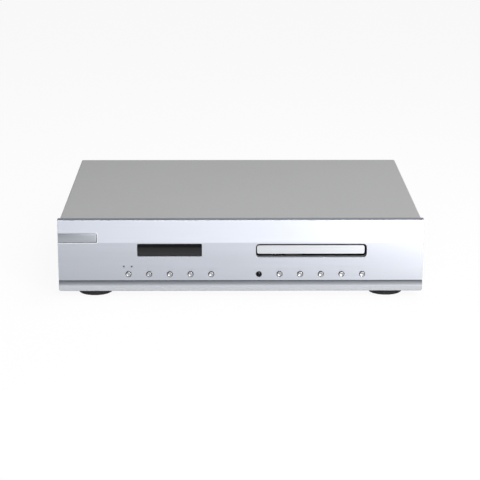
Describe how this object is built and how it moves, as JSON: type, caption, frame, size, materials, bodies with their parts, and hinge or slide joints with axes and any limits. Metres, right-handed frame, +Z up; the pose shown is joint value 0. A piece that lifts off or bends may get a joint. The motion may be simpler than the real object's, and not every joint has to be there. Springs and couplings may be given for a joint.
{
  "type": "cd player",
  "caption": "Slim compact disc player with a brushed metal front, motorised disc tray, dark display window, round push buttons, folded metal cover and its disc loader inside.",
  "frame": {"origin": "on the surface that the feet stand on, in the middle of the outline seen from above", "axes": "+X to the right seen from the front, +Y from the front panel towards the back, +Z up"},
  "size_m": [0.44, 0.3494, 0.099],
  "materials": {
    "panel_aluminium": "brushed",
    "polished_metal": "polished",
    "cover_paint": "satin",
    "zinc_steel": "zinc plated",
    "steel": "plain",
    "black_plastic": "moulded",
    "grey_plastic": "moulded",
    "white_plastic": "moulded",
    "dark_window": "gloss",
    "clear_lens": "gloss",
    "amber_lens": "gloss",
    "circuit_board": "solder mask",
    "rubber": "matte",
    "gold_plate": "plated",
    "wound_core": "wrapped",
    "ribbon": "flat cable",
    "black_anodised": "anodised"
  },
  "bodies": {
    "casework": {"front_panel": "panel_aluminium", "badge_plate": "panel_aluminium", "display_window": "dark_window", "display_tube": "dark_window", "control_board": "circuit_board", "receiver_lens": "dark_window", "indicator_left": "amber_lens", "indicator_right": "amber_lens", "top_cover": "cover_paint", "chassis_base": "zinc_steel", "rear_panel": "zinc_steel", "foot_front_left": "rubber", "foot_front_right": "rubber", "foot_rear_left": "rubber", "foot_rear_right": "rubber", "loader_frame": "black_plastic", "clamp_bridge": "zinc_steel", "loader_motor": "steel", "drive_belt": "rubber", "transformer": "wound_core", "transformer_clamp": "steel", "main_board": "circuit_board", "power_board": "circuit_board", "heat_sink": "black_anodised", "ribbon_cable": "ribbon", "mains_inlet": "black_plastic", "power_switch": "black_plastic", "output_socket_left": "gold_plate", "output_socket_right": "gold_plate", "digital_socket": "gold_plate", "optical_socket": "black_plastic"},
    "drawer": {"disc_tray": "black_plastic", "tray_front": "panel_aluminium"},
    "tray_gear": {"tray_gear": "white_plastic"},
    "pulley_gear": {"pulley_gear": "white_plastic"},
    "motor_pulley": {"motor_pulley": "black_plastic"},
    "traverse": {"traverse_frame": "grey_plastic", "spindle_motor": "steel", "guide_rod_left": "steel", "guide_rod_right": "steel", "sled_motor": "steel"},
    "turntable": {"turntable": "black_plastic"},
    "sled": {"pickup_sled": "grey_plastic", "pickup_lens": "clear_lens"},
    "sled_gear": {"sled_gear": "white_plastic"},
    "sled_motor_pinion": {"sled_motor_pinion": "white_plastic"},
    "lift_slider": {"lift_slider": "white_plastic"},
    "clamp_puck": {"clamp_puck": "black_plastic"},
    "power_rocker": {"power_rocker": "grey_plastic"},
    "button_1": {"button_1": "polished_metal"},
    "button_2": {"button_2": "polished_metal"},
    "button_3": {"button_3": "polished_metal"},
    "button_4": {"button_4": "polished_metal"},
    "button_5": {"button_5": "polished_metal"},
    "button_6": {"button_6": "polished_metal"},
    "button_7": {"button_7": "polished_metal"},
    "button_8": {"button_8": "polished_metal"},
    "button_9": {"button_9": "polished_metal"},
    "button_10": {"button_10": "polished_metal"}
  },
  "joints": [
    {"name": "drawer_slide", "type": "slide", "parent": "casework", "child": "drawer", "axis": [0, -1, 0], "range_m": [0, 0.138]},
    {"name": "tray_gear_spin", "type": "hinge", "parent": "casework", "child": "tray_gear", "pos_m": [0.0425, -0.13925, 0.0523], "axis": [0, 0, 1], "range_deg": [0, 633]},
    {"name": "pulley_gear_spin", "type": "hinge", "parent": "casework", "child": "pulley_gear", "pos_m": [0.0625, -0.13925, 0.0506], "axis": [0, 0, 1], "range_deg": [-1055, 0]},
    {"name": "motor_pulley_spin", "type": "hinge", "parent": "casework", "child": "motor_pulley", "pos_m": [0.1045, -0.13925, 0.0478], "axis": [0, 0, 1], "range_deg": [-3622, 0]},
    {"name": "traverse_tilt", "type": "hinge", "parent": "casework", "child": "traverse", "pos_m": [0.0845, -0.01725, 0.0448], "axis": [1, 0, 0], "range_deg": [0, 4]},
    {"name": "lift_slide", "type": "slide", "parent": "casework", "child": "lift_slider", "axis": [1, 0, 0], "range_m": [0, 0.01]},
    {"name": "turntable_spin", "type": "hinge", "parent": "traverse", "child": "turntable", "pos_m": [0.0845, -0.09825, 0.058], "axis": [0, 0, 1], "continuous": true},
    {"name": "clamp_puck_spin", "type": "hinge", "parent": "casework", "child": "clamp_puck", "pos_m": [0.0845, -0.09825, 0.0695], "axis": [0, 0, 1], "continuous": true},
    {"name": "sled_slide", "type": "slide", "parent": "traverse", "child": "sled", "axis": [0, 1, 0], "range_m": [0, 0.033]},
    {"name": "sled_gear_spin", "type": "hinge", "parent": "traverse", "child": "sled_gear", "pos_m": [0.1203, -0.06625, 0.051], "axis": [0, 0, 1], "range_deg": [-394, 0]},
    {"name": "sled_motor_spin", "type": "hinge", "parent": "traverse", "child": "sled_motor_pinion", "pos_m": [0.1203, -0.05185, 0.051], "axis": [0, 0, 1], "range_deg": [0, 788]},
    {"name": "rocker_tilt", "type": "hinge", "parent": "casework", "child": "power_rocker", "pos_m": [-0.148, 0.16355, 0.05], "axis": [1, 0, 0], "range_deg": [0, 14]},
    {"name": "button_1_press", "type": "slide", "parent": "casework", "child": "button_1", "axis": [0, 1, 0], "range_m": [0, 0.0008], "stiffness_N_per_m": 400, "springref_m": -0.0004},
    {"name": "button_2_press", "type": "slide", "parent": "casework", "child": "button_2", "axis": [0, 1, 0], "range_m": [0, 0.0008], "stiffness_N_per_m": 400, "springref_m": -0.0004},
    {"name": "button_3_press", "type": "slide", "parent": "casework", "child": "button_3", "axis": [0, 1, 0], "range_m": [0, 0.0008], "stiffness_N_per_m": 400, "springref_m": -0.0004},
    {"name": "button_4_press", "type": "slide", "parent": "casework", "child": "button_4", "axis": [0, 1, 0], "range_m": [0, 0.0008], "stiffness_N_per_m": 400, "springref_m": -0.0004},
    {"name": "button_5_press", "type": "slide", "parent": "casework", "child": "button_5", "axis": [0, 1, 0], "range_m": [0, 0.0008], "stiffness_N_per_m": 400, "springref_m": -0.0004},
    {"name": "button_6_press", "type": "slide", "parent": "casework", "child": "button_6", "axis": [0, 1, 0], "range_m": [0, 0.0008], "stiffness_N_per_m": 400, "springref_m": -0.0004},
    {"name": "button_7_press", "type": "slide", "parent": "casework", "child": "button_7", "axis": [0, 1, 0], "range_m": [0, 0.0008], "stiffness_N_per_m": 400, "springref_m": -0.0004},
    {"name": "button_8_press", "type": "slide", "parent": "casework", "child": "button_8", "axis": [0, 1, 0], "range_m": [0, 0.0008], "stiffness_N_per_m": 400, "springref_m": -0.0004},
    {"name": "button_9_press", "type": "slide", "parent": "casework", "child": "button_9", "axis": [0, 1, 0], "range_m": [0, 0.0008], "stiffness_N_per_m": 400, "springref_m": -0.0004},
    {"name": "button_10_press", "type": "slide", "parent": "casework", "child": "button_10", "axis": [0, 1, 0], "range_m": [0, 0.0008], "stiffness_N_per_m": 400, "springref_m": -0.0004}
  ],
  "couplings": [
    {"joint": "tray_gear_spin", "follows": "drawer_slide", "rad_per_m": 80},
    {"joint": "pulley_gear_spin", "follows": "drawer_slide", "rad_per_m": -133.33},
    {"joint": "motor_pulley_spin", "follows": "drawer_slide", "rad_per_m": -457.66},
    {"joint": "lift_slide", "follows": "traverse_tilt", "m_per_rad": 0.1432},
    {"joint": "clamp_puck_spin", "follows": "turntable_spin", "ratio": 1},
    {"joint": "sled_gear_spin", "follows": "sled_slide", "rad_per_m": -208.33},
    {"joint": "sled_motor_spin", "follows": "sled_slide", "rad_per_m": 416.67}
  ]
}
